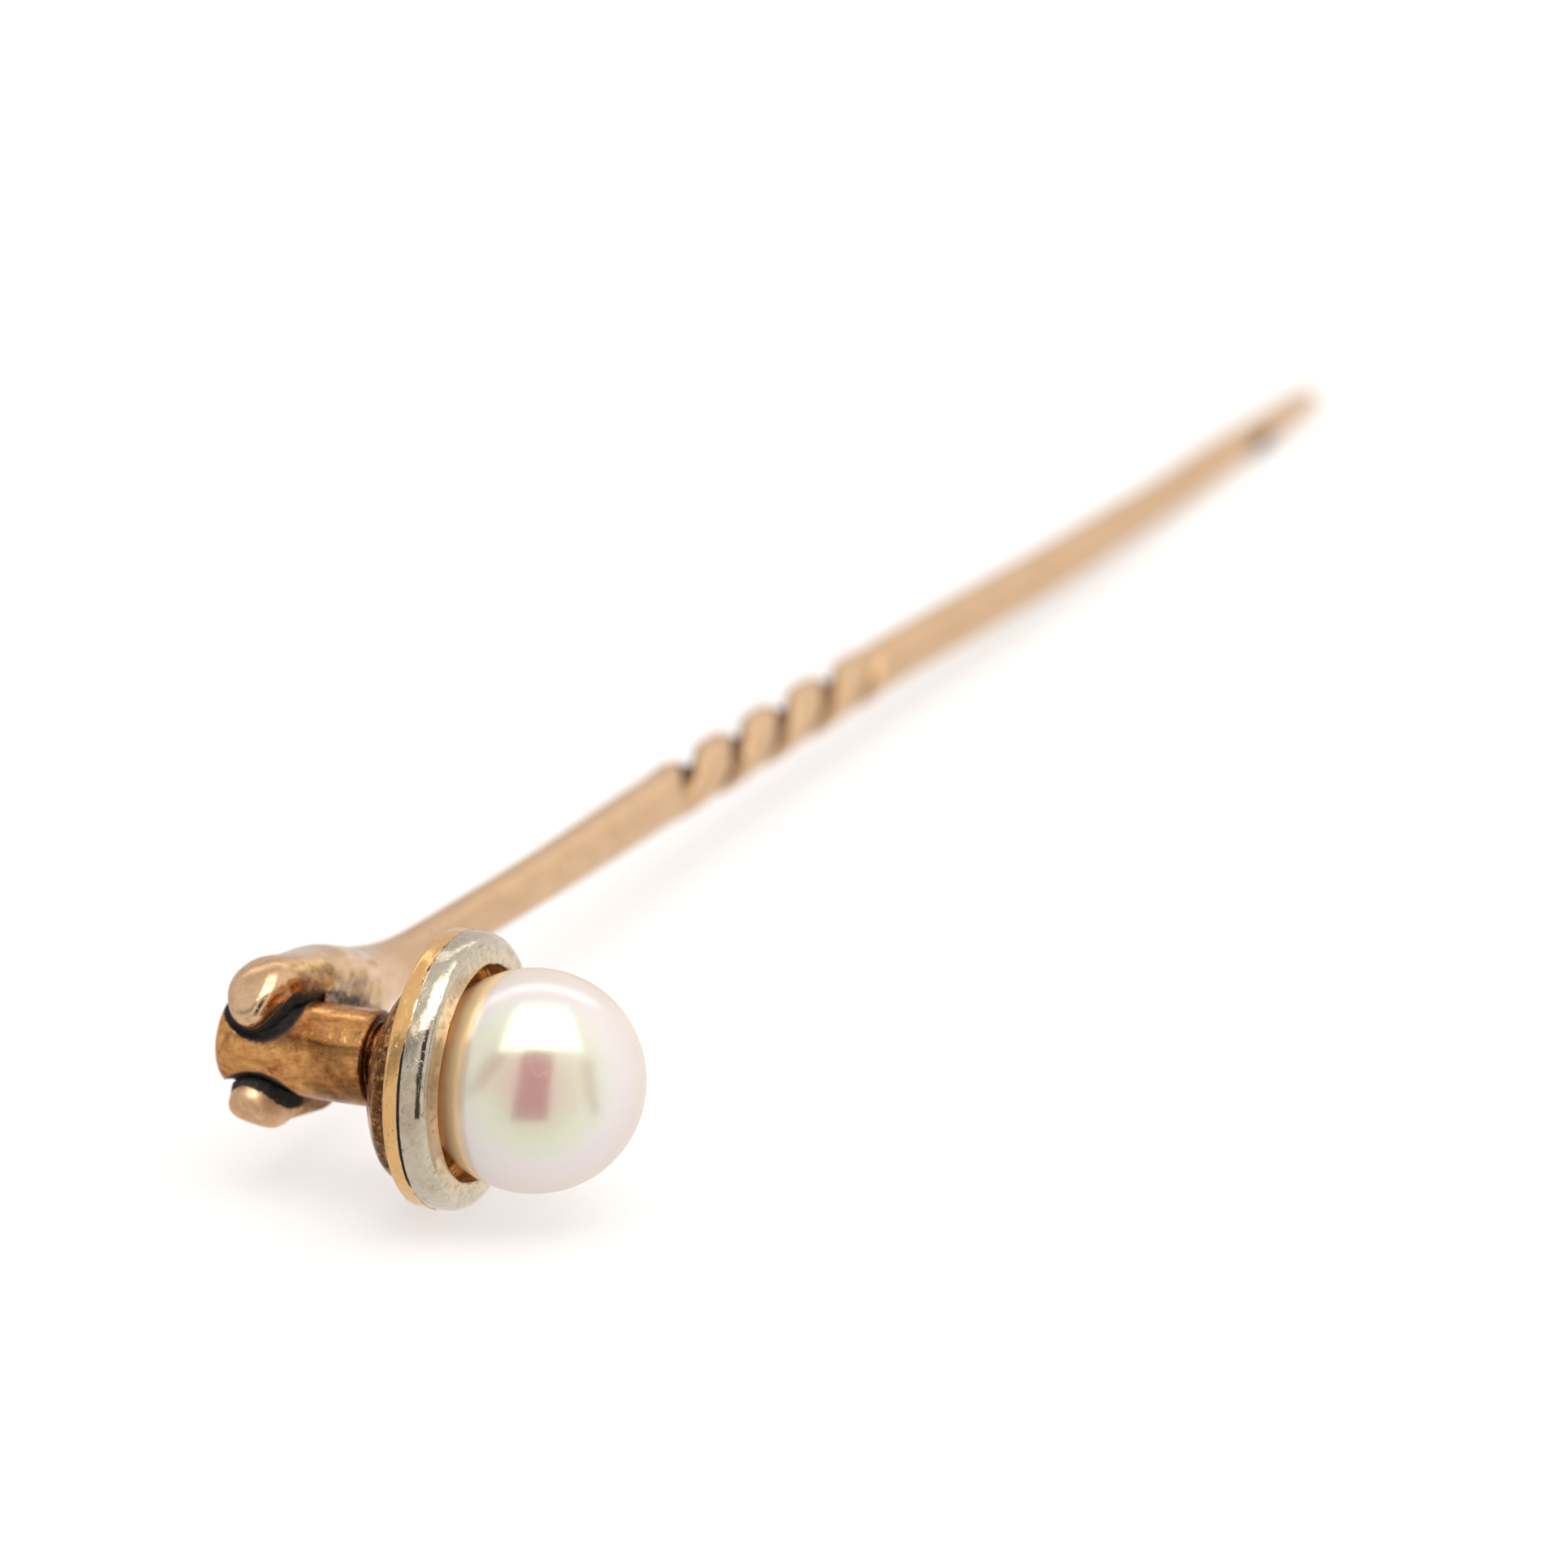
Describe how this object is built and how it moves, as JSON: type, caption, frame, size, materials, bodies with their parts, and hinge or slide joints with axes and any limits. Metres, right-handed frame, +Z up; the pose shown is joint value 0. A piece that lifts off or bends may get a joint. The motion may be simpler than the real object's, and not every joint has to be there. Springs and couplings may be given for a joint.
{
  "type": "pearl stick pin",
  "caption": "Long pointed gold pin with a spiral-grooved shaft and a forked head that clasps a cross tube carrying a pearl in a cup with a two-colour collar.",
  "frame": {"origin": "centre of the flat back end of the cross tube", "axes": "+Y out of the tube's flat back end, so the pearl faces -Y; +X along the pin towards its point; +Z up from the table the pin lies on"},
  "size_m": [0.066, 0.0108, 0.007],
  "materials": {
    "rose_gold": "polished",
    "tube_gold": "worn polish",
    "yellow_gold": "polished",
    "cup_gold": "tarnished",
    "white_gold": "scratched polish",
    "solder": "pitted and oxidised",
    "pearl": "pearly gloss",
    "cement": "matt"
  },
  "bodies": {
    "root": {"pin_stem": "rose_gold", "fork_solder": "solder", "socket_tube": "tube_gold", "neck_stud": "cup_gold", "back_cup": "cup_gold", "gold_collet": "yellow_gold", "white_rim": "white_gold", "pearl_peg": "yellow_gold", "pearl_cement": "cement", "pearl": "pearl"}
  },
  "joints": []
}
